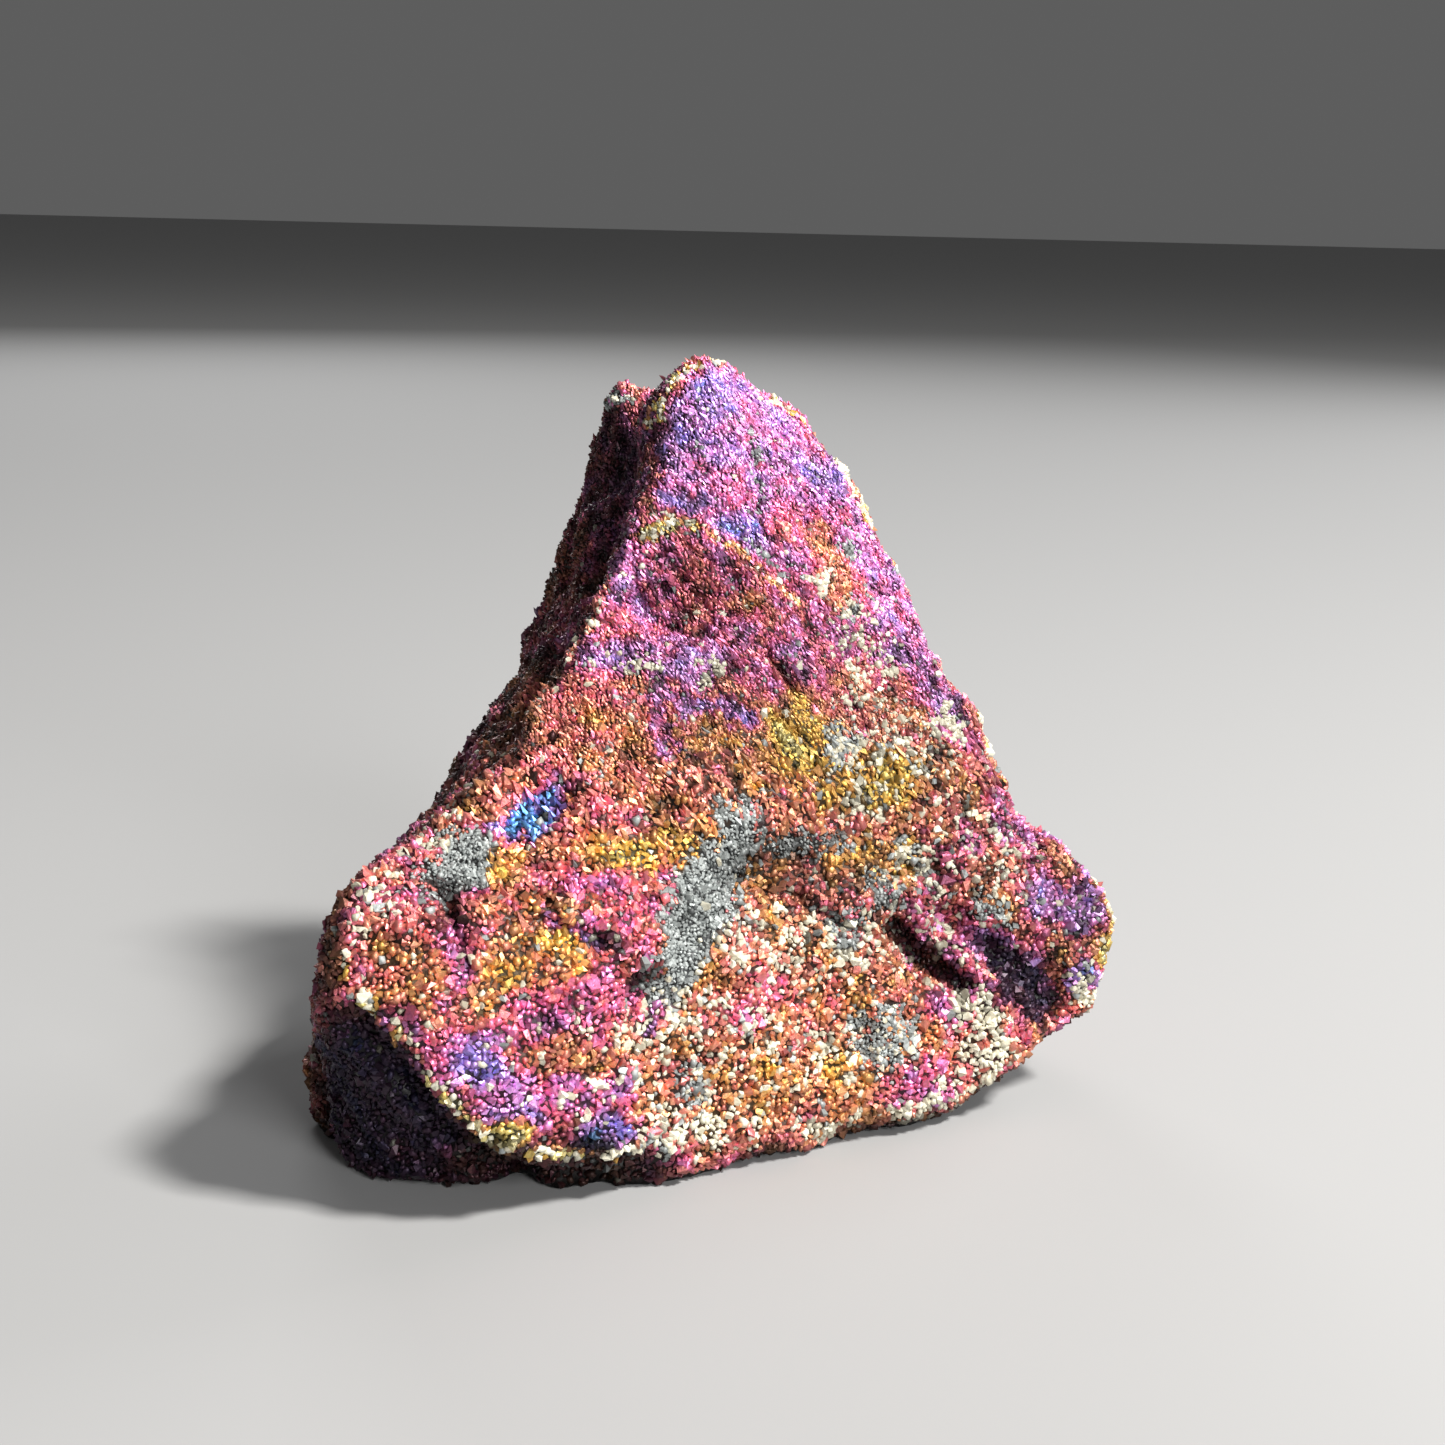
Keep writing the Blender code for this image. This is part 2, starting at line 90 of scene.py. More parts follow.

# Areas of one film colour on the broad face: mm right of and above the middle of the foot on a plane that
# leans back with the face, half width, half height, turn in degrees, film thickness. Many of the places
# were picked on the photo, in pixels, and turned into mm. The rest were set one by one.
LEAN = 13.0
FILM_AREAS = {
    "upper_rose": (2, 57, 16, 13, 0, 0.66),
    "waist_rose": (0, 42, 18, 5, 0, 0.60),
    "left_foot": (-18, 8, 13, 11, 0, 0.53),
    "right_foot": (10, 7, 16, 9, 0, 0.42),
    "right_slope": (25, 20, 8, 9, 30, 0.56),
    "left_copper_slope": (-12, 33, 7.5, 5, 30, 0.49),
    "middle_copper": (-2.5, 30.0, 6, 4, 0, 0.44),
    "maroon_scoop": (-3.5, 47, 5.5, 3.5, 15, 0.57),
    "ledge_pink": (-9.5, 19.5, 6, 3.5, 10, 0.58),
    "left_pink": (-26.5, 20, 4.5, 3.5, 30, 0.53),
    "summit_violet": (-4, 59, 3.5, 4, 0, 0.74),
    "tip_blue": (-2.4, 63.6, 2.7, 3.0, 0, 0.83),
    "right_of_summit_magenta": (5, 61, 4, 3.5, 0, 0.71),
    "right_of_summit_blue": (8.2, 57.2, 2, 2.2, 0, 0.81),
    "left_rim_copper": (-7.5, 56, 0.9, 4, 0, 0.48),
    "brow_violet": (-4, 54.3, 2.2, 0.8, 0, 0.84),
    "brow_straw": (-5.4, 51.6, 2.6, 0.6, 10, 0.06),
    "rings": (0.4, 52.2, 1.6, 1.2, 0, 0.80),
    "low_rings": (2.4, 50.8, 1.2, 1.0, 0, 0.76),
    "upper_right_pink": (5.3, 50.6, 2.4, 3.4, 0, 0.64),
    "upper_right_salmon": (9, 49, 1.9, 4, 20, 0.47),
    "violet_chip": (-8.7, 45.7, 1.5, 2.9, 30, 0.73),
    "red_flake": (1, 45, 1.7, 0.8, 10, 0.42),
    "middle_red": (4.5, 43.2, 2.2, 2, 0, 0.58),
    "right_edge_violet": (15.8, 44, 2.5, 6.5, 25, 0.69),
    "right_edge_violet_low": (20.4, 36.6, 1.8, 4, 25, 0.69),
    "violet_band": (-6.6, 39.8, 6.0, 1.5, -4, 0.72),
    "fold_violet": (-1.5, 35.6, 3.0, 0.7, 0, 0.78),
    "low_fold_violet": (-4.0, 32.8, 2.0, 0.6, -15, 0.86),
    "violet_down": (-5.6, 34.5, 0.9, 4.0, 8, 0.70),
    "tan_between": (-0.2, 33.2, 3.2, 0.9, 5, 0.33),
    "brown_under_fold": (3.2, 29.8, 3.4, 1.4, 10, 0.33),
    "brown_flat": (-5.4, 26.5, 3.0, 0.9, 8, 0.42),
    "gold_flecks": (-11.8, 34.6, 1.5, 1.3, 0, 0.34),
    "fold_spot": (1.6, 35.2, 0.9, 0.7, 0, 0.78),
    "magenta_in_gold": (13.0, 24.0, 1.6, 0.7, -10, 0.62),
    "right_salmon": (12.5, 37.7, 4, 2.6, 0, 0.46),
    "gold": (6.8, 33.0, 3.6, 3.2, -20, 0.21),
    "low_gold": (13.4, 29.4, 5.6, 2.7, 10, 0.21),
    "right_orange": (20.6, 28.3, 3.3, 2.8, 20, 0.40),
    "right_edge_pink": (26.8, 26.4, 1.9, 4.7, 30, 0.64),
    "violet_by_streak": (-14, 28, 3.2, 0.8, 35, 0.70),
    "blue_streak": (-16.3, 26, 3.0, 1.1, 35, 1.00),
    "gold_band": (-6.7, 23.5, 5.3, 1.4, 5, 0.23),
    "left_orange": (-18, 22, 1.5, 2, 0, 0.30),
    "ledge_orange": (-14.5, 19, 3.3, 1.2, 0, 0.36),
    "brown_patch": (3.5, 22.6, 3.6, 1.9, 0, 0.40),
    "gold_brown": (13.5, 22.5, 5.3, 2.4, 0, 0.30),
    "crevice_red": (-21.6, 18.3, 1.9, 1.2, -30, 0.52),
    "magenta_spot": (-21.6, 14.6, 2.1, 2.8, 0, 0.64),
    "bulge_orange": (-25.2, 12.8, 2.9, 3.4, 0, 0.38),
    "bulge_orange_right": (-17.8, 12.8, 2.2, 2.9, 0, 0.36),
    "violet_crack": (-12, 17, 3.6, 0.6, -20, 0.84),
    "nugget_orange": (-13.6, 15.2, 3.9, 1.5, -15, 0.33),
    "bulge_pink": (-9, 13, 2.4, 3.6, -20, 0.58),
    "bulge_magenta": (-15, 9.8, 3.6, 2.6, 0, 0.65),
    "bulge_violet": (-19.1, 6.6, 2.6, 2.4, 0, 0.79),
    "bulge_low_orange": (-13, 7, 4.3, 1.7, 0, 0.36),
    "bulge_low_magenta": (-13, 4, 5.7, 1.4, 5, 0.68),
    "bulge_foot_violet": (-16, 2.6, 4.3, 1.2, 0, 0.76),
    "foot_straw": (-17.6, 0.9, 2.2, 0.9, 0, 0.12),
    "foot_blue": (-9.2, 0.4, 2.4, 1.4, 0, 0.86),
    "orange_by_strip": (-2, 15.6, 1.9, 3.4, -30, 0.35),
    "magenta_streak": (-5.5, 10.2, 0.9, 3.3, -20, 0.68),
    "middle_pink": (3.3, 11.6, 1.9, 2.6, 0, 0.55),
    "rust_patch": (10, 9.8, 4.5, 2.4, -15, 0.40),
    "low_middle_orange": (7, 3.5, 6, 2.6, 0, 0.34),
    "low_left_orange": (0, 2.2, 3.9, 2.6, 0, 0.40),
    "low_right_magenta": (19, 2.3, 4.5, 2.2, 0, 0.60),
    "right_rose": (21.2, 9.8, 2.2, 2.4, 0, 0.57),
    "right_middle_orange": (14, 13.7, 3.4, 2.4, 0, 0.40),
    "first_hollow": (19.3, 13.2, 1.8, 4.0, 48, 0.60),
    "second_hollow": (27.0, 11.7, 2.0, 5.2, 45, 0.74),
    "slope_salmon": (25.4, 20.6, 3.1, 2.8, 0, 0.46),
    "slope_rose": (19.3, 18.3, 2.6, 1.7, -30, 0.57),
    "lump_violet": (32.0, 18.4, 4.0, 2.4, 0, 0.78),
    "lump_peach": (33.4, 14.6, 2.4, 1.1, 0, 0.40),
    "lump_blue": (34.2, 11.4, 1.8, 1.5, 0, 0.82),
    "lump_gold": (36.3, 13.6, 1.2, 2.0, 0, 0.14),
    "lump_top_orange": (31.8, 21.6, 2.2, 1.2, -30, 0.44),
    "pocket_magenta": (-26.4, 10.5, 2.1, 1.3, -20, 0.68),
    "undercut_violet": (-28, 2, 6, 7, 20, 0.80),
    "undercut_magenta": (-25, -2.5, 3, 1.0, -20, 0.66),
    "undercut_red": (-16.4, -4, 5.2, 0.8, 0, 0.56),
}

# Areas where grey grains grow, and areas where pale grains do, placed the same way. The last number is
# their share.
GREY_AREAS = {
    "strip_top": (1.2, 24.2, 2.0, 2.8, -25, 1.0),
    "strip": (-1.8, 19.4, 2.9, 5.0, -25, 1.0),
    "strip_low": (-4.6, 13.8, 2.1, 3.4, -30, 1.0),
    "band": (17.0, 22.4, 1.0, 3.0, 40, 0.5),
    "under_magenta": (14.0, 19.8, 1.3, 2.2, 20, 0.75),
    "dark_spot": (5.2, 23.6, 1.8, 0.7, 0, 0.9),
    "above_ledge": (-21.3, 22.4, 2.3, 2.4, 0, 1.0),
    "left_rim": (-24.4, 21, 1.2, 1.7, 0, 0.5),
    "beside_brown": (7.5, 24, 3.1, 1.4, 0, 0.8),
    "over_strip": (0.8, 26.7, 1.7, 1.2, 0, 0.9),
    "centre": (11.2, 17, 2.1, 1.5, 0, 0.7),
    "round_patch": (14.1, 6.8, 2.9, 2.8, 0, 0.75),
    "in_gold": (10.0, 32.6, 1.6, 2.4, 0, 0.6),
    "upper_speck": (11, 51, 1, 1, 0, 0.8),
    "lower_speck": (11, 45, 1.1, 1.1, 0, 0.8),
    "seam": (2.1, 57.4, 0.5, 5.2, 8, 0.55),
    "seam_low": (3.9, 49, 2.6, 0.6, -35, 0.6),
    "over_second_hollow": (24.4, 18.4, 0.8, 2.9, 40, 0.7),
    "rear_tip": (-11.4, 65.2, 1.4, 0.9, 20, 1.0),
    "foot": (-2.4, 3.8, 1.5, 2.2, 0, 0.6),
    "foot_middle": (-5.6, -1.6, 2.6, 1.2, 0, 0.6),
    "under_bulge": (-11.3, -2.6, 4.3, 0.8, 0, 0.5),
}
PALE_AREAS = {
    "core_in_gold": (11.2, 31.4, 2.0, 2.4, 10, 0.6),
    "brow": (-5.4, 51.6, 2.4, 0.8, 10, 0.35),
    "field": (6, 15, 6.4, 3.3, -15, 0.42),
    "low_field": (0, 7.5, 5.2, 4, 0, 0.32),
    "big_patch": (23.8, 6.6, 2.5, 4.2, 10, 1.0),
    "corner_foot": (22.0, 1.4, 3.6, 1.5, 20, 0.6),
    "in_round_patch": (14.0, 6.8, 2.6, 2.6, 0, 0.25),
    "right_field": (16, 16, 5.2, 2.9, 0, 0.3),
    "zigzag": (-5.8, 7.8, 2.4, 4.7, -10, 0.4),
    "foot": (-1.5, 0, 6, 2.1, 0, 0.55),
    "right_foot": (14.6, -0.9, 7, 1.5, 5, 0.6),
    "edge_cluster": (20.8, 35.2, 1.2, 1.7, 10, 0.9),
    "low_cluster": (18.0, 31.0, 1.1, 1.0, 0, 0.9),
    "middle_cluster": (16.0, 33.0, 0.8, 0.7, 0, 0.9),
    "upper_cluster": (14.5, 39.0, 1.0, 0.9, 0, 0.8),
    "cream_cluster": (11.5, 38.0, 1.0, 1.2, 0, 0.7),
    "gold_foot": (11.8, 26.8, 2.6, 0.9, 5, 0.85),
    "by_band": (17.4, 21.4, 2.6, 3.0, 40, 0.35),
    "waist_flecks": (-2.5, 39.0, 2.0, 0.6, 8, 0.7),
    "lump_foot": (34.5, 10, 1.4, 1.8, 0, 0.7),
    "knob": (-6.9, 62.4, 0.9, 1.0, 0, 0.9),
    "upper_fleck": (6.7, 57.6, 0.5, 0.5, 0, 1.0),
    "lower_fleck": (7.8, 47.4, 0.8, 0.7, 0, 1.0),
    "middle_flecks": (-7.7, 39, 4.3, 0.8, 0, 0.35),
    "right_flecks": (16.2, 31.4, 5.2, 4.3, 0, 0.22),
    "upper_right_flecks": (12, 41.4, 2.6, 5.2, 20, 0.28),
    "left_rim": (-29, 18.2, 2.6, 3.4, -30, 0.32),
    "upper_left_rim": (-24, 24.8, 2.9, 0.9, 35, 0.5),
    "bulge_rim": (-26.7, 11, 0.7, 2.9, 35, 0.35),
    "right_slope": (24, 23.3, 4.3, 3.4, -30, 0.25),
    "low_flecks": (7, 5.2, 7.7, 3.4, 0, 0.24),
    "under_strip": (-2.6, 11, 2.2, 2.2, 0, 0.5),
    "bulge_low": (-10.6, 8.6, 2.2, 0.9, -20, 0.4),
    "over_blue_foot": (-11, 3, 2.6, 1.0, 0, 0.3),
}

# Narrow crevices in the face: width, depth, and places along them on the same plane, all in mm.
CREVICES = {
    "in_left_lobe": (0.7, 0.7, ((-23.5, 20.5), (-21.8, 18.4), (-20.6, 16.0), (-20.4, 14.0))),
    "across_bulge": (0.6, 0.5, ((-16.0, 18.0), (-13.5, 17.9), (-11.0, 16.8), (-9.0, 16.2))),
    "bulge_right_side": (0.5, 0.3, ((-8.6, 16.0), (-7.6, 13.0), (-7.4, 10.0), (-6.8, 6.0))),
    "gash": (0.6, 0.8, ((3.8, 40.6), (4.6, 39.4), (5.6, 38.2), (6.2, 37.4))),
    "scoop_top": (0.5, 0.5, ((-7.5, 51.0), (-5.0, 50.6), (-2.5, 49.4), (-1.0, 47.6))),
    "scoop_left": (0.45, 0.6, ((-8.8, 49.6), (-8.4, 46.4), (-7.2, 44.8))),
    "scoop_step": (0.4, 0.6, ((-6.0, 45.4), (-4.4, 46.6), (-3.2, 48.2))),
    "scoop_low_step": (0.4, 0.6, ((-4.2, 44.2), (-2.4, 45.4), (-0.8, 46.8))),
    "under_flake": (0.5, 0.7, ((-0.6, 44.0), (1.0, 44.2), (2.6, 45.2))),
    "waist_line": (0.4, 0.4, ((-7.4, 44.0), (-5.0, 42.6), (-2.4, 41.6), (0.6, 41.8))),
    "over_right_field": (0.7, 0.9, ((4.0, 20.0), (7.0, 19.4), (9.5, 17.6), (12.0, 16.6))),
    "ledge_top": (0.45, 0.4, ((-11.0, 25.2), (-8.0, 25.2), (-4.0, 25.0), (-2.0, 24.8))),
    "right_edge": (0.6, 0.8, ((19.0, 22.0), (21.5, 20.2), (23.5, 18.6))),
    "seam": (0.5, 0.4, ((1.2, 62.0), (1.8, 58.0), (2.6, 54.0), (3.4, 50.0), (6.0, 48.2))),
    "first_hollow": (1.5, 1.7, ((15.8, 16.2), (17.6, 14.2), (20.0, 12.4), (22.4, 11.2))),
    "undercut": (2.4, 1.5, ((-28.6, 9.0), (-25.6, 4.6), (-21.6, -0.2), (-16.6, -4.0), (-9.5, -5.4))),
}

# Thin light edges of the face: partly pale grains and a film colour of their own along the arrises, partly
# painted highlight on rims that catch the light, and the painted shade is cleared along them. Width, film
# thickness, share of pale grains, and places along them.
EDGES = {
    "over_undercut": (0.7, 0.05, 0.55, ((-31.0, 15.0), (-29.5, 13.0), (-26.0, 9.0), (-22.0, 4.0),
                                       (-17.0, -0.4), (-10.0, -1.9), (-6.5, -1.5))),
    "left_edge": (0.5, 0.46, 0.35, ((-10.5, 46.8), (-12.6, 41.6), (-15.4, 37.6), (-20.8, 31.2),
                                   (-24.4, 25.4), (-28.4, 21.2))),
    "right_edge": (0.5, 0.02, 0.7, ((-6.4, 64.0), (-4.6, 66.8), (-1.8, 67.8), (1.4, 67.0), (4.4, 64.4),
                                    (7.2, 63.0), (11.2, 56.6), (14.2, 51.2), (17.2, 47.4), (20.8, 41.6),
                                    (23.8, 36.0), (24.9, 32.0), (27.8, 28.9), (30.8, 25.8))),
    "lump_edge": (0.5, 0.06, 0.5, ((30.8, 25.8), (34.4, 21.8), (36.6, 17.6), (37.2, 14.0), (36.6, 10.4))),
    "knob": (1.3, 0.10, 0.5, ((-7.4, 61.8), (-7.0, 63.0))),
    "rear_tip": (0.7, 0.70, 0.5, ((-12.0, 64.8), (-10.4, 65.4))),
    "scoop_ridge": (0.35, 0.30, 0.3, ((-4.0, 52.2), (-1.2, 50.8), (1.2, 49.6), (3.5, 47.6), (6.2, 45.0))),
}

# Places on the face painted darker, placed the same way: mostly painted shade in hollows, crevices, the
# undercut, under the front and on the rear summit, and painted shade that tones down the right part and the
# middle; partly dark dull tarnish, as in the brown patch. The last number is how much darker, up to 1.
SHADE_AND_DULL_AREAS = {
    "scoop": (-3.5, 47, 5.5, 3.5, 15, 0.42),
    "brow": (-4, 54.3, 2.8, 1, 0, 0.4),
    "straw": (-5.4, 51.6, 3.4, 1.2, 10, 0.5),
    "fold": (-1.5, 35.6, 3.0, 0.7, 0, 0.6),
    "low_fold": (-4.0, 32.8, 2.0, 0.7, -15, 0.6),
    "brown_flat": (-5.4, 26.5, 3.0, 0.9, 8, 0.4),
    "by_brown_patch": (5.4, 22.0, 4.5, 2.6, -10, 0.45),
    "dark_spot": (5.2, 23.6, 1.8, 0.6, 0, 0.6),
    "rings": (0.4, 52.2, 0.7, 0.6, 0, 0.5),
    "low_rings": (2.4, 50.8, 0.5, 0.45, 0, 0.5),
    "right_part": (19, 26, 13, 15, 30, 0.32),
    "middle": (3, 38, 11, 9, 0, 0.38),
    "lump": (32, 17, 5, 6, 0, 0.45),
    "lump_foot": (29.6, 8.6, 1.6, 2.4, 45, 0.95),
    "foot_right": (16, -1, 12, 2.5, 5, 0.15),
    "undercut": (-29.5, 1, 6, 8.5, 20, 1.0),
    "under_front": (-15, -5.2, 9, 1.8, -5, 1.0),
    "rear_summit": (-12, 60, 3.6, 6.5, 15, 0.9),
    "brown_patch": (3.5, 22.6, 4, 2.2, 0, 0.6),
    "beside_brown": (7.5, 24, 3.4, 1.5, 0, 0.35),
    "first_hollow": (19.2, 13.0, 1.3, 3.8, 50, 0.95),
    "second_hollow": (27.2, 11.4, 2.0, 5.2, 45, 1.0),
    "crevice": (-21.6, 18.3, 1.9, 1.0, -30, 0.5),
    "violet_crack": (-12, 17, 3.8, 0.7, -20, 0.6),
    "left_pocket": (-26.4, 10.5, 2.3, 1.3, -20, 0.5),
    "left_rim": (-8.2, 57, 1.0, 7, 10, 0.5),
}

# The direction that the ore's grain runs in, down to the right, and how far long grains swing from it, in
# radians.
GRAIN_RUN = (0.55, 0.0, -0.83)
RUN_SWING = 0.5

# Sizes of the skin, in mm: its voxels, how far it lies inside the solid, and the height below which it
# goes over to the flat base.
SKIN_VOXEL = 0.45
SKIN_INSET = 0.26
FLAT_BASE = 0.6

# How far a side may turn to the back, as the Y part of its outward direction, and still be the front.
FRONT_TURN = 0.15

# The grains: mm between seeds for each kind of skin, seeds tried for each square of that spacing, the
# number of shapes for each mineral, where the front is cut into regions, in mm, and the values that grains
# take from the skin.
SPACINGS = {"back": 0.47, "coarse": 0.42, "fine": 0.27}
TRIES = 7.0
GRAIN_SHAPES = 6
SHAPE_SEED = 50
FACE_CUTS = (-12.0, 5.0)
REGIONS = ("left_face", "middle_face", "right_face", "left_back", "right_back")
CARRIED = ("film", "pale", "grey", "dull_and_shade", "facing", "long")

# Each mineral's grains: how many corners a grain has, how far it reaches from its middle in spacings, the
# least reach in mm, and what share of them grows long where the ore is flaky.
MINERALS = {
    "sulphide": {"corners": 8, "reach": 0.98, "least": 0.0, "long": 1.0},
    "pale": {"corners": 11, "reach": 1.0, "least": 0.34, "long": 0.0},
    "grey": {"corners": 8, "reach": 1.0, "least": 0.0, "long": 0.5},
}


def plane_place(x, y, z):
    """Gives the mm right of and above the foot's middle on the plane that leans back with the broad face."""
    lean = math.radians(LEAN)
    return x, z * math.cos(lean) + y * math.sin(lean)


def step(low, high, value):
    """Goes smoothly from 0 at low to 1 at high, also where low is above high."""
    share = np.clip((value - low) / (high - low), 0.0, 1.0)
    return share * share * (3.0 - 2.0 * share)


def noise_at(points, size, layer=0.0):
    """Gives smooth noise from -1 to 1 with features about size mm wide."""
    shift = Vector((layer * 17.3, layer * 5.9, layer * 11.1))
    return np.array([noise.noise(Vector(p) / size + shift) for p in points])


def ridges_at(points, size, octaves, layer=0.0):
    """Gives broken ridges and pits from about -1 to 1, the widest about size mm."""
    shift = Vector((layer * 7.7, layer * 13.1, layer * 3.3))
    made = np.array([noise.ridged_multi_fractal(Vector(p) / size + shift, 1.0, 2.1, octaves, 1.0, 2.0)
                     for p in points])
    return (made - made.mean()) / (3.0 * made.std())


def points_of(mesh):
    flat = np.empty(len(mesh.vertices) * 3)
    mesh.vertices.foreach_get("co", flat)
    return flat.reshape(-1, 3)


def normals_of(mesh):
    flat = np.empty(len(mesh.vertices) * 3, dtype=np.float32)
    mesh.vertex_normals.foreach_get("vector", flat)
    return flat.reshape(-1, 3).astype(float)


def set_points(mesh, points):
    mesh.vertices.foreach_set("co", points.ravel())
    mesh.update()


def in_place(obj, *modifiers):
    """Applies modifiers, each a type and its settings, by taking the evaluated mesh."""
    for kind, settings in modifiers:
        modifier = obj.modifiers.new(kind.lower(), kind)
        for name, value in settings.items():
            setattr(modifier, name, value)
    depsgraph = bpy.context.evaluated_depsgraph_get()
    made = bpy.data.meshes.new_from_object(obj.evaluated_get(depsgraph), preserve_all_data_layers=True,
                                           depsgraph=depsgraph)
    obj.modifiers.clear()
    obj.data = made
    return obj


def smoothed(mesh, values, rounds):
    """Averages values between neighbouring points."""
    edges = np.empty(len(mesh.edges) * 2, dtype=int)
    mesh.edges.foreach_get("vertices", edges)
    first, second = edges.reshape(-1, 2).T
    count = np.bincount(edges, minlength=len(values)).astype(float)[:, None]
    for _ in range(rounds):
        total = np.zeros_like(values)
        np.add.at(total, first, values[second])
        np.add.at(total, second, values[first])
        values = 0.5 * values + 0.5 * total / count
    return values


def area_share(across, up, area):
    """Gives 1 inside an area, and 0 well outside it."""
    middle_x, middle_y, half_width, half_height, turn, _ = area
    turned = math.radians(turn)
    dx = across - middle_x
    dy = up - middle_y
    along = (dx * math.cos(turned) + dy * math.sin(turned)) / half_width
    over = (dy * math.cos(turned) - dx * math.sin(turned)) / half_height
    return step(1.35, 0.75, np.hypot(along, over))


def run_share(across, up, run, width):
    """Gives 1 along a run of places, and 0 more than width mm from it."""
    nearest = np.full(len(across), 1e9)
    for (x0, y0), (x1, y1) in zip(run, run[1:]):
        length = math.hypot(x1 - x0, y1 - y0)
        along = ((across - x0) * (x1 - x0) + (up - y0) * (y1 - y0)) / length ** 2
        along = np.clip(along, 0.0, 1.0)
        away = np.hypot(across - x0 - along * (x1 - x0), up - y0 - along * (y1 - y0))
        nearest = np.minimum(nearest, away)
    return step(width, 0.25 * width, nearest)


def crevices_at(points, on_face):
    """Works out how deep in a crevice each point lies, in mm."""
    warp = np.array([noise.noise_vector(Vector(p) / 2.0) for p in points])
    across, up = plane_place(*(points + 0.7 * warp).T)
    depth = np.zeros(len(points))
    for width, most, run in CREVICES.values():
        depth = np.maximum(depth, most * run_share(across, up, run, width))
    return depth * on_face


def along_run(points):
    """Draws points together along the run of the ore's grain, so that what is made there comes out long."""
    run = np.array(GRAIN_RUN) / np.linalg.norm(GRAIN_RUN)
    return points - 0.5 * (points @ run)[:, None] * run


def creases_at(points):
    """Gives 1 in the fine creases between broken ridges, 0 outside them."""
    fold = np.abs(noise_at(along_run(points), 1.9, 11.0))
    kept = step(-0.15, 0.2, noise_at(points, 4.5, 12.0))
    return step(0.11, 0.03, fold) * kept * step(8.0, 30.0, points[:, 2]) * step(66.0, 54.0, points[:, 2])


def film_of(points, across, up, on_face):
    """Works out the tarnish film's thickness at each point, which noise can take a little past 0 or 1."""
    broad = noise_at(points, 9.0, 1.0)
    patch = noise_at(along_run(points), 2.2, 2.0)
    fleck = noise_at(points, 1.1, 3.0)
    on_front = 0.47 + 0.12 * broad
    elsewhere = 0.56 + 0.30 * broad
    film = elsewhere + (on_front - elsewhere) * on_face
    for area in FILM_AREAS.values():
        film += (area[5] - film) * area_share(across, up, area) * on_face
    return film + 0.15 * patch + 0.13 * fleck


def share_of(across, up, on_face, areas):
    """Works out what the areas hold at each point: the share of one mineral, or the painted shade and
    dullness.
    """
    share = np.zeros(len(across))
    for area in areas.values():
        share = np.maximum(share, area[5] * area_share(across, up, area) * on_face)
    return share


def ore_skin(cad_node):
    """Makes the lump's broken skin, a little inside the solid, and gives it the values the finish reads."""
    mesh = cad_node.data.copy()
    shape = bmesh.new()
    shape.from_mesh(mesh)
    bmesh.ops.remove_doubles(shape, verts=shape.verts, dist=1e-6)
    shape.to_mesh(mesh)
    shape.free()
    mesh.materials.clear()
    skin = bpy.data.objects.new("ore_skin", mesh)
    bpy.context.collection.objects.link(skin)
    in_place(skin, ("REMESH", {"mode": "VOXEL", "voxel_size": SKIN_VOXEL * MM, "use_smooth_shade": True}),
             ("TRIANGULATE", {}))
    break_up(skin.data)
    give_values(skin.data)
    return skin


def break_up(mesh):
    """Roughens the skin with ridges, pits and lumps a few mm wide, and leaves the flat base as it is."""
    points = points_of(mesh) / MM
    outward = smoothed(mesh, normals_of(mesh), 4)
    outward /= np.linalg.norm(outward, axis=1)[:, None]
    summit = step(34.0, 50.0, points[:, 2])
    relief = 0.50 * ridges_at(points, 4.6, 3, 1.0)
    relief += 0.20 * noise_at(points, 1.6, 5.0)
    relief += (0.14 + 0.12 * summit) * ridges_at(points, 1.5, 2, 2.0)
    relief -= 0.5 * creases_at(points) + crevices_at(points, step(FRONT_TURN, -FRONT_TURN, outward[:, 1]))
    above_base = step(0.15, FLAT_BASE, points[:, 2])
    points += outward * ((relief - SKIN_INSET) * above_base)[:, None]
    points[:, 2] = np.maximum(points[:, 2], 0.0)
    set_points(mesh, points * MM)


def turned_away_shade_at(points, outward):
    """Gives painted shade: 1 where the lump turns away from the lamps to its left side and underside, 0 on
    its lit sides.
    """
    left = step(-0.35, -0.6, outward[:, 0])
    # Lighter spots in the painted shade of the left side are painted glints.
    glints = step(0.25, 0.5, noise_at(points, 1.3, 15.0))
    left *= 0.86 + 0.3 * noise_at(points, 2.0, 14.0) - 0.4 * glints
    low_left = step(0.0, -0.4, outward[:, 2]) * step(2.0, -6.0, points[:, 0])
    under = step(-0.4, -0.8, outward[:, 2])
    return np.maximum(np.maximum(left, low_left), under)


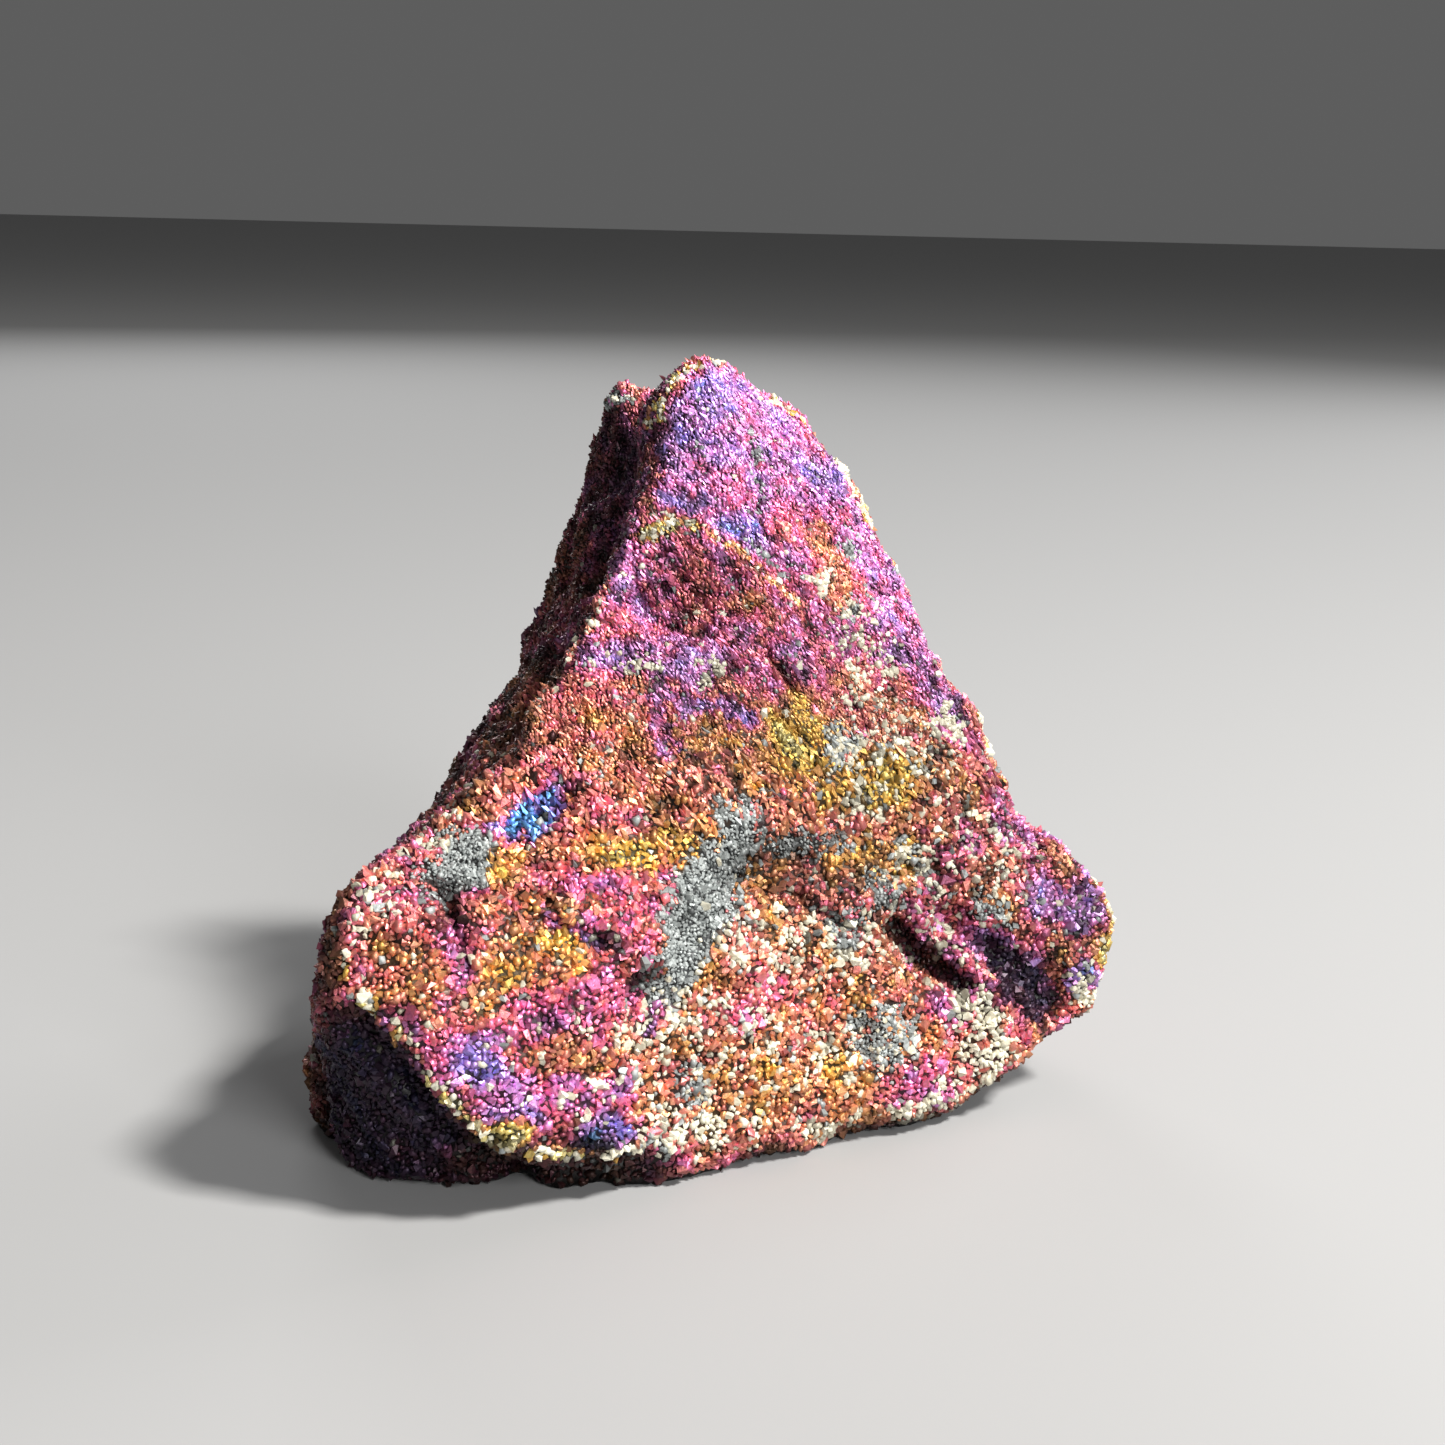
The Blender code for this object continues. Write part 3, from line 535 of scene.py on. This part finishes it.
def give_values(mesh):
    """Stores on the skin's points the film, the minerals' shares, painted shade and dullness, and what
    grains grow there.
    """
    points = points_of(mesh) / MM
    outward = smoothed(mesh, normals_of(mesh), 10)
    outward /= np.linalg.norm(outward, axis=1)[:, None]
    warp = np.array([noise.noise_vector(Vector(p) / 2.6) for p in points])
    finer = np.array([noise.noise_vector(Vector(p) / 0.9) for p in points])
    across, up = plane_place(*(points + 1.3 * warp + 1.0 * finer).T)
    on_face = step(FRONT_TURN, -FRONT_TURN, outward[:, 1])
    height = points[:, 2]

    film = film_of(points, across, up, on_face)
    grey = share_of(across, up, on_face, GREY_AREAS)
    grey = np.maximum(grey, 0.02 + 0.06 * noise_at(points, 3.0, 8.0))
    grey = np.maximum(grey, 0.8 * step(0.3, 0.45, noise_at(points, 6.0, 18.0)) * (1.0 - on_face))
    pale = share_of(across, up, on_face, PALE_AREAS)
    pale = np.maximum(pale, (0.012 + 0.04 * step(30.0, 12.0, height)) * (1.0 + noise_at(points, 2.4, 7.0)))
    pale = np.maximum(pale, 0.5 * step(0.2, 0.5, noise_at(points, 4.5, 17.0)) * (1.0 - on_face))
    pale *= 0.4 + 1.1 * step(-0.2, 0.25, noise_at(points, 1.2, 16.0))
    pale *= 1.0 - 0.85 * step(0.5, 0.95, grey)
    # Painted shade and dullness from the listed areas, and the places where that is deepest.
    dull_and_shade = share_of(across, up, on_face, SHADE_AND_DULL_AREAS)
    deep_shade = step(0.6, 0.8, dull_and_shade)
    # Painted shade in the crevices.
    dull_and_shade = np.maximum(dull_and_shade, crevices_at(points, on_face))
    # Painted shade of small dark pits, fewer near the summit, and of the creases.
    pits = step(0.2, 0.6, noise_at(points, 1.4, 6.0)) * (0.6 - 0.3 * step(48.0, 58.0, height))
    dull_and_shade += pits + creases_at(points)
    # Painted shade on the left side and underside, which turn away from the lamps.
    turned_away_shade = turned_away_shade_at(points, outward)

    edge_x, edge_y = plane_place(*(points + 0.5 * finer).T)
    edge_kept = step(0.3, 0.0, outward[:, 1]) * step(-0.35, 0.1, noise_at(points, 1.6, 13.0))
    # Along the edges: their own film and pale grains, partly painted highlight, and no painted shade.
    for width, thickness, edge_pale, run in EDGES.values():
        edge = step(0.3, 0.6, run_share(edge_x, edge_y, run, width) * edge_kept)
        film += (thickness - film) * edge
        pale = np.maximum(pale, edge_pale * edge)
        dull_and_shade *= 1.0 - edge
        turned_away_shade *= 1.0 - edge
    # Fewer pale and grey grains in the painted shade, so that it reads darker.
    pale *= 1.0 - 0.8 * np.maximum(turned_away_shade, deep_shade)
    grey *= 1.0 - 0.6 * np.maximum(turned_away_shade, deep_shade)

    front = outward[:, 1] < FRONT_TURN
    fine = step(26.0, 42.0, height) * front + step(44.0, 56.0, height) * ~front
    fine = fine + grey + 0.5 * noise_at(points, 1.0, 9.0) > 0.55
    store(mesh, "film", film)
    store(mesh, "pale", np.clip(pale, 0.0, 1.0))
    store(mesh, "grey", np.clip(grey, 0.0, 1.0))
    # The stored painted shade and dullness, which dims the finishes.
    store(mesh, "dull_and_shade", np.clip(np.maximum(turned_away_shade, dull_and_shade), 0.0, 1.0))
    store(mesh, "kind", np.where(fine, 2, np.where(front, 1, 0)))
    store(mesh, "grown", step(0.35, 0.7, height))
    store(mesh, "facing", outward[:, 1])
    store(mesh, "long", 0.9 * step(22.0, 40.0, height) * (1.0 - turned_away_shade) * step(0.5, 0.1, outward[:, 1]))


def store(mesh, name, values):
    layer = mesh.attributes.new(name, "FLOAT", "POINT")
    layer.data.foreach_set("value", values.astype(np.float32))


def grain_shape(corners, number):
    """Makes one crystal grain that reaches about 1 from its middle: a many-sided body with flat faces."""
    draw = random.Random(SHAPE_SEED + number)
    shape = bmesh.new()
    for corner in range(corners):
        height = 1.0 - 2.0 * (corner + 0.5) / corners
        turn = corner * 2.4 + draw.uniform(-0.5, 0.5)
        reach = math.sqrt(1.0 - height * height) * draw.uniform(0.85, 1.15)
        shape.verts.new((reach * math.cos(turn), reach * math.sin(turn), height * draw.uniform(0.9, 1.2)))
    made = bmesh.ops.convex_hull(shape, input=shape.verts)
    inside = [v for v in made["geom_interior"] if isinstance(v, bmesh.types.BMVert)]
    bmesh.ops.delete(shape, geom=inside, context="VERTS")
    bmesh.ops.recalc_face_normals(shape, faces=shape.faces)
    mesh = bpy.data.meshes.new("grain_shape")
    for face in shape.faces:
        face.smooth = number % 3 == 0
    shape.to_mesh(mesh)
    shape.free()
    return bpy.data.objects.new("grain_shape", mesh)


def shape_set(corners):
    """Makes a collection of grain shapes with so many corners, no two alike."""
    collection = bpy.data.collections.new("grain_shapes")
    for number in range(GRAIN_SHAPES):
        collection.objects.link(grain_shape(corners, number))
    return collection


class Tree:
    """A small helper that adds nodes to a tree and joins them."""

    def __init__(self, tree):
        self.nodes = tree.nodes
        self.links = tree.links

    def add(self, kind, settings=None, **inputs):
        node = self.nodes.new(kind)
        for name, value in (settings or {}).items():
            setattr(node, name, value)
        for name, value in inputs.items():
            self.feed(node, name.replace("_", " "), value)
        return node

    def feed(self, node, name, value):
        """Sets or joins an input, given by its name or as i and its number."""
        by_number = name[0] == "i" and name[1:].isdigit()
        socket = node.inputs[int(name[1:])] if by_number else self.named(node, name)
        if isinstance(value, bpy.types.NodeSocket):
            self.links.new(value, socket)
        else:
            socket.default_value = value

    @staticmethod
    def named(node, name):
        for socket in node.inputs:
            if socket.enabled and socket.name.lower() == name.lower():
                return socket
        raise KeyError(f"{node.bl_idname} has no input {name}")

    def math(self, operation, first, second=0.0):
        return self.add("ShaderNodeMath", {"operation": operation}, i0=first, i1=second).outputs[0]

    def value(self, name):
        """Reads a value stored on the points."""
        node = self.add("GeometryNodeInputNamedAttribute", {"data_type": "FLOAT"}, Name=name)
        return next(s for s in node.outputs if s.enabled and s.name == "Attribute")

    def either(self, chosen, first, second):
        """Takes the first vector where chosen is 0, and the second where it is 1."""
        node = self.add("GeometryNodeSwitch", {"input_type": "VECTOR"}, Switch=chosen)
        self.feed(node, "False", first)
        self.feed(node, "True", second)
        return next(s for s in node.outputs if s.enabled)

    def chance(self, kind, low, high, seed):
        """Draws a value of its own for each point."""
        node = self.add("FunctionNodeRandomValue", {"data_type": kind}, Min=low, Max=high, Seed=seed)
        return next(s for s in node.outputs if s.enabled)


def new_tree(name, inputs):
    """Starts a geometry tree with named inputs, and gives it with its input sockets."""
    group = bpy.data.node_groups.new(name, "GeometryNodeTree")
    for label, kind in inputs.items():
        group.interface.new_socket(name=label, in_out="INPUT", socket_type="NodeSocket" + kind)
    group.interface.new_socket(name="Geometry", in_out="OUTPUT", socket_type="NodeSocketGeometry")
    tree = Tree(group)
    return group, tree, tree.add("NodeGroupInput").outputs


def end_tree(tree, geometry):
    result = tree.add("NodeGroupOutput")
    tree.links.new(geometry, result.inputs[0])


def seed_tree():
    """Builds the tree that spreads the points where grains start, no closer together than the spacing."""
    group, tree, given = new_tree("spread_seeds", {"Geometry": "Geometry", "Spacing": "Float",
                                                   "Candidates": "Float", "Seed": "Int"})
    spread = tree.add("GeometryNodeDistributePointsOnFaces", {"distribute_method": "POISSON"},
                      Mesh=given["Geometry"], Distance_Min=given["Spacing"], Density_Max=given["Candidates"],
                      Density_Factor=tree.value("grown"), Seed=given["Seed"])
    corners = tree.add("GeometryNodePointsToVertices", Points=spread.outputs["Points"])
    end_tree(tree, corners.outputs[0])
    return group


def grain_tree():
    """Builds the tree that sets a grain of its own size, turn and proportions on each seed."""
    group, tree, given = new_tree("grow_grains", {"Geometry": "Geometry", "Shapes": "Collection",
                                                  "Seed": "Int", "Finish": "Material"})
    shapes = tree.add("GeometryNodeCollectionInfo", i0=given["Shapes"], Separate_Children=True,
                      Reset_Children=True)
    which = tree.chance("INT", 0, GRAIN_SHAPES - 1, given["Seed"])
    down = math.atan2(-GRAIN_RUN[2], GRAIN_RUN[0])
    any_way = tree.chance("FLOAT_VECTOR", (0.0,) * 3, (math.tau,) * 3, given["Seed"])
    with_run = tree.chance("FLOAT_VECTOR", (0.0, down - RUN_SWING, -RUN_SWING),
                           (math.tau, down + RUN_SWING, RUN_SWING), given["Seed"])
    turned = tree.either(tree.value("long"), any_way, with_run)
    turn = tree.add("FunctionNodeEulerToRotation", Euler=turned)
    stout = tree.chance("FLOAT_VECTOR", (0.6, 0.6, 0.5), (1.3, 1.3, 1.15), given["Seed"])
    drawn_out = tree.chance("FLOAT_VECTOR", (1.2, 0.6, 0.4), (2.1, 1.0, 0.8), given["Seed"])
    stretch = tree.either(tree.value("long"), stout, drawn_out)
    scale = tree.add("ShaderNodeVectorMath", {"operation": "SCALE"}, i0=stretch, Scale=tree.value("reach"))
    grown = tree.add("GeometryNodeInstanceOnPoints", Points=given["Geometry"], Instance=shapes.outputs[0],
                     Pick_Instance=True, Instance_Index=which, Rotation=turn.outputs[0],
                     Scale=scale.outputs[0])
    real = tree.add("GeometryNodeRealizeInstances", Geometry=grown.outputs[0])
    finished = tree.add("GeometryNodeSetMaterial", Geometry=real.outputs[0], Material=given["Finish"])
    end_tree(tree, finished.outputs[0])
    return group


def run_tree(name, mesh, tree, wanted):
    """Runs a geometry tree on a mesh and gives a plain mesh object."""
    piece = bpy.data.objects.new(name, mesh)
    bpy.context.collection.objects.link(piece)
    modifier = piece.modifiers.new("tree", "NODES")
    modifier.node_group = tree
    for socket in tree.interface.items_tree:
        if socket.in_out == "INPUT" and socket.name in wanted:
            modifier[socket.identifier] = wanted[socket.name]
    return in_place(piece)


def values_of(mesh, name):
    values = np.empty(len(mesh.vertices), dtype=np.float32)
    mesh.attributes[name].data.foreach_get("value", values)
    return values


def seeds_on(skin, tree, spacing, kind):
    """Spreads seeds over one kind of part of the skin and gives their places and values."""
    wanted = {"Spacing": spacing * MM, "Candidates": TRIES / (spacing * MM) ** 2, "Seed": kind}
    spread = run_tree("seeds", skin.data, tree, wanted)
    kept = np.round(values_of(spread.data, "kind")) == kind
    seeds = {name: values_of(spread.data, name)[kept] for name in CARRIED}
    seeds["place"] = points_of(spread.data)[kept]
    seeds["spacing"] = np.full(kept.sum(), spacing)
    bpy.data.objects.remove(spread)
    return seeds


def minerals_at(seeds, draw):
    """Draws the mineral of each seed's grain by the shares of pale and grey grains there."""
    chance = draw.random(len(seeds["place"]))
    mineral = np.full(len(chance), "sulphide")
    mineral[chance < seeds["pale"] + seeds["grey"]] = "grey"
    mineral[chance < seeds["pale"]] = "pale"
    return mineral


def grow(name, seeds, chosen, mineral, tree, shapes, finish, draw):
    """Grows one piece: a grain on each chosen seed."""
    mesh = bpy.data.meshes.new(name)
    mesh.vertices.add(int(chosen.sum()))
    set_points(mesh, seeds["place"][chosen])
    for value in ("film", "dull_and_shade"):
        store(mesh, value, seeds[value][chosen])
    store(mesh, "grain", draw.random(chosen.sum()))
    long_share = seeds["long"][chosen] * MINERALS[mineral]["long"]
    store(mesh, "long", draw.random(chosen.sum()) < long_share)
    spread = np.exp(draw.normal(0.0, 0.2, chosen.sum()))
    reach = np.maximum(seeds["spacing"][chosen] * MINERALS[mineral]["reach"], MINERALS[mineral]["least"])
    store(mesh, "reach", reach * spread * MM)
    piece = run_tree(name, mesh, tree, {"Shapes": shapes, "Seed": 7, "Finish": finish})
    for used in ("reach", "long"):
        piece.data.attributes.remove(piece.data.attributes[used])
    points = points_of(piece.data)
    points[:, 2] = np.maximum(points[:, 2], 0.0)
    set_points(piece.data, points)
    return piece


def material(name):
    made = bpy.data.materials.new(name)
    made.use_nodes = True
    made.node_tree.nodes.clear()
    tree = Tree(made.node_tree)
    shader = tree.add("ShaderNodeBsdfPrincipled")
    output = tree.add("ShaderNodeOutputMaterial")
    tree.links.new(shader.outputs[0], output.inputs[0])
    return made, tree, shader


def linear(colour):
    """Turns a colour as seen on a screen into the light values that a shader takes."""
    return tuple(c / 12.92 if c <= 0.04045 else ((c + 0.055) / 1.055) ** 2.4 for c in colour) + (1.0,)


def attribute(tree, name):
    node = tree.add("ShaderNodeAttribute", {"attribute_name": name})
    return node.outputs["Fac"]


def film_ramp(tree, thickness):
    ramp = tree.add("ShaderNodeValToRGB", Fac=thickness)
    stops = ramp.color_ramp.elements
    while len(stops) > 1:
        stops.remove(stops[-1])
    stops[0].position = FILM_COLOURS[0][0]
    stops[0].color = linear(FILM_COLOURS[0][1])
    for place, colour in FILM_COLOURS[1:]:
        stop = stops.new(place)
        stop.color = linear(colour)
    return ramp.outputs[0]


def noise_node(tree, size, detail=2.0, roughness=0.6):
    place = tree.add("ShaderNodeTexCoord").outputs["Object"]
    node = tree.add("ShaderNodeTexNoise", Vector=place, Scale=1.0 / (size * MM), Detail=detail,
                    Roughness=roughness)
    return node.outputs[0]


def ranged(tree, value, low, high, to_low, to_high):
    node = tree.add("ShaderNodeMapRange", Value=value, From_Min=low, From_Max=high, To_Min=to_low,
                    To_Max=to_high)
    return node.outputs[0]


def shaded(tree, colour, brightness):
    node = tree.add("ShaderNodeVectorMath", {"operation": "SCALE"}, i0=colour, Scale=brightness)
    return node.outputs[0]


def bump(tree, height, depth, strength=1.0):
    node = tree.add("ShaderNodeBump", Strength=strength, Distance=depth * MM, Height=height)
    return node.outputs[0]


def other_chance(tree, grain):
    """Makes a second chance value for a grain out of its first."""
    return tree.math("FRACT", tree.math("MULTIPLY", grain, 37.0))


def sulphide_finish(name, brightness, ground=False):
    """Tarnished sulphide: a metallic film whose colour goes with its thickness, on finely pitted faces.

    As the ground between the grains, it turns grey where grey grains grow."""
    made, tree, shader = material(name)
    fleck = noise_node(tree, 0.55, 3.0)
    film = tree.math("ADD", attribute(tree, "film"), ranged(tree, fleck, 0.3, 0.7, -0.04, 0.04))
    grain = attribute(tree, "grain")
    film = tree.math("ADD", film, ranged(tree, grain, 0.0, 1.0, -0.045, 0.045))
    # Brightness: fine noise in tone, times a factor of each grain's own that is painted light, grains
    # catching the lamps differently.
    light = ranged(tree, noise_node(tree, 0.3, 2.0), 0.3, 0.7, 0.75, 1.1)
    light = tree.math("MULTIPLY", light, ranged(tree, other_chance(tree, grain), 0.0, 1.0, 0.6, 1.2))
    # The brightness given, low for the ground between the grains as painted shade, dimmed to a twentieth by
    # the stored painted shade and dullness.
    shade_and_dull_dimming = ranged(tree, attribute(tree, "dull_and_shade"), 0.0, 1.0, brightness, brightness * 0.05)
    light = tree.math("MULTIPLY", light, shade_and_dull_dimming)
    colour = film_ramp(tree, film)
    if ground:
        mix = tree.add("ShaderNodeMix", {"data_type": "RGBA"})
        tree.feed(mix, "A", colour)
        tree.feed(mix, "B", linear((0.62, 0.64, 0.65)))
        tree.feed(mix, "Factor", attribute(tree, "grey"))
        colour = next(s for s in mix.outputs if s.enabled)
    tree.feed(shader, "Base Color", shaded(tree, colour, light))
    tree.feed(shader, "Metallic", 0.7)
    tree.feed(shader, "Coat Weight", 0.15)
    tree.feed(shader, "Coat Roughness", 0.3)
    tree.feed(shader, "Roughness", ranged(tree, noise_node(tree, 0.4, 2.0), 0.3, 0.7, 0.34, 0.56))
    tree.feed(shader, "Normal", bump(tree, noise_node(tree, 0.22, 3.0), 0.06))
    return made


def mineral_finish(name, dark, light, roughness, metallic):
    """A mineral that took no tarnish: its own colour between two shades, grain by grain."""
    made, tree, shader = material(name)
    mix = tree.add("ShaderNodeMix", {"data_type": "RGBA"})
    tree.feed(mix, "A", linear(dark))
    tree.feed(mix, "B", linear(light))
    cloud = ranged(tree, noise_node(tree, 0.5, 2.0), 0.3, 0.7, 0.5, 1.1)
    own = ranged(tree, attribute(tree, "grain"), 0.0, 1.0, 0.45, 1.0)
    tree.feed(mix, "Factor", tree.math("MULTIPLY", cloud, own))
    # Dimmed down to 0.12 by the stored painted shade and dullness.
    shade_and_dull_dimming = ranged(tree, attribute(tree, "dull_and_shade"), 0.0, 1.0, 1.0, 0.12)
    colour = next(s for s in mix.outputs if s.enabled)
    tree.feed(shader, "Base Color", shaded(tree, colour, shade_and_dull_dimming))
    tree.feed(shader, "Metallic", metallic)
    rough = ranged(tree, noise_node(tree, 0.4, 2.0), 0.3, 0.7, roughness - 0.1, roughness + 0.12)
    tree.feed(shader, "Roughness", rough)
    tree.feed(shader, "Normal", bump(tree, noise_node(tree, 0.25, 3.0), 0.05))
    return made


def floor():
    """A plain pale floor."""
    mesh = bpy.data.meshes.new("floor")
    shape = bmesh.new()
    bmesh.ops.create_grid(shape, x_segments=1, y_segments=1, size=6.0)
    shape.to_mesh(mesh)
    shape.free()
    made = bpy.data.objects.new("floor", mesh)
    bpy.context.collection.objects.link(made)
    finish, tree, shader = material("pale_floor")
    tree.feed(shader, "Base Color", linear((0.62, 0.62, 0.62)))
    tree.feed(shader, "Roughness", 0.9)
    mesh.materials.append(finish)


def lamp(name, direction, distance, size, watts, colour=(1.0, 1.0, 1.0)):
    """Adds a square lamp that looks at the lump from a direction."""
    data = bpy.data.lights.new(name, "AREA")
    data.size = size
    data.energy = watts
    data.color = colour
    made = bpy.data.objects.new(name, data)
    bpy.context.collection.objects.link(made)
    away = Vector(direction).normalized()
    made.matrix_world = Matrix.Translation(away * distance + Vector((0.0, 0.0, 0.03))) @ \
        away.to_track_quat("Z", "Y").to_matrix().to_4x4()


def light_up():
    lamp("key_light", (0.7, -0.35, 1.0), 0.8, 0.12, 11.5, (1.0, 0.98, 0.95))
    lamp("front_light", (0.5, -0.9, 0.45), 1.2, 0.4, 9.4)
    lamp("back_light", (0.9, 0.9, 0.5), 1.0, 0.4, 4.0)
    lamp("rear_light", (-0.3, 1.0, 0.5), 1.1, 0.4, 3.0)
    world = bpy.data.worlds.new("studio")
    world.use_nodes = True
    world.node_tree.nodes["Background"].inputs["Color"].default_value = (0.5, 0.5, 0.5, 1.0)
    world.node_tree.nodes["Background"].inputs["Strength"].default_value = 0.22
    bpy.context.scene.world = world
    bpy.context.scene.view_settings.view_transform = "Standard"


def camera():
    data = bpy.data.cameras.new("camera")
    data.sensor_width = 36.0
    data.lens = LENS
    data.clip_start = 0.01
    made = bpy.data.objects.new("camera", data)
    bpy.context.collection.objects.link(made)
    made.matrix_world = (Matrix.Translation(Vector(EYE) * MM)
                         @ Matrix.Rotation(math.radians(90.0 - LOOK_DOWN), 4, "X")
                         @ Matrix.Rotation(math.radians(ROLL), 4, "Z"))
    bpy.context.scene.camera = made


def finishes():
    return {
        "sulphide": sulphide_finish("tarnished_sulphide", 1.0),
        "pale": mineral_finish("pale_grains", (0.66, 0.61, 0.50), (0.94, 0.93, 0.85), 0.38, 0.1),
        "grey": mineral_finish("grey_grains", (0.40, 0.42, 0.42), (0.71, 0.73, 0.72), 0.45, 0.2),
    }


def grains(skin):
    """Grows all the grains on the skin, as one piece for each mineral and region."""
    spreading = seed_tree()
    growing = grain_tree()
    draw = np.random.default_rng(SEED)
    parts = [seeds_on(skin, spreading, spacing, kind) for kind, spacing in enumerate(SPACINGS.values())]
    seeds = {name: np.concatenate([part[name] for part in parts]) for name in parts[0]}
    minerals = minerals_at(seeds, draw)
    across = seeds["place"][:, 0] / MM
    regions = np.where(seeds["facing"] < FRONT_TURN, np.digitize(across, FACE_CUTS), 3 + (across > 0.0))
    made = []
    for mineral, finish in finishes().items():
        shapes = shape_set(MINERALS[mineral]["corners"])
        for number, region in enumerate(REGIONS):
            chosen = (minerals == mineral) & (regions == number)
            name = f"{mineral}_grains_{region}"
            made.append(grow(name, seeds, chosen, mineral, growing, shapes, finish, draw))
        for shape in list(shapes.objects):
            bpy.data.objects.remove(shape)
        bpy.data.collections.remove(shapes)
    return made


def dress(node):
    """Builds the skin and the grains over the solid, sets what each piece rides on, and hides the solid."""
    skin = ore_skin(node)
    # The ground between the grains is the same finish at a tenth of the brightness: painted shade between
    # the grains.
    skin.data.materials.append(sulphide_finish("sulphide_shaded_between_grains", 0.1, True))
    pieces = [skin] + grains(skin)
    for unused in ("pale", "kind", "grown", "facing", "long"):
        skin.data.attributes.remove(skin.data.attributes[unused])
    for piece in pieces:
        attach(piece, "root")
    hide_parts("peacock_ore")


# Without a seed of its own, noise_vector gives other values each time that Blender starts.
noise.seed_set(SEED)
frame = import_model()
camera()
light_up()
floor()
dress(frame["nodes"]["peacock_ore"])
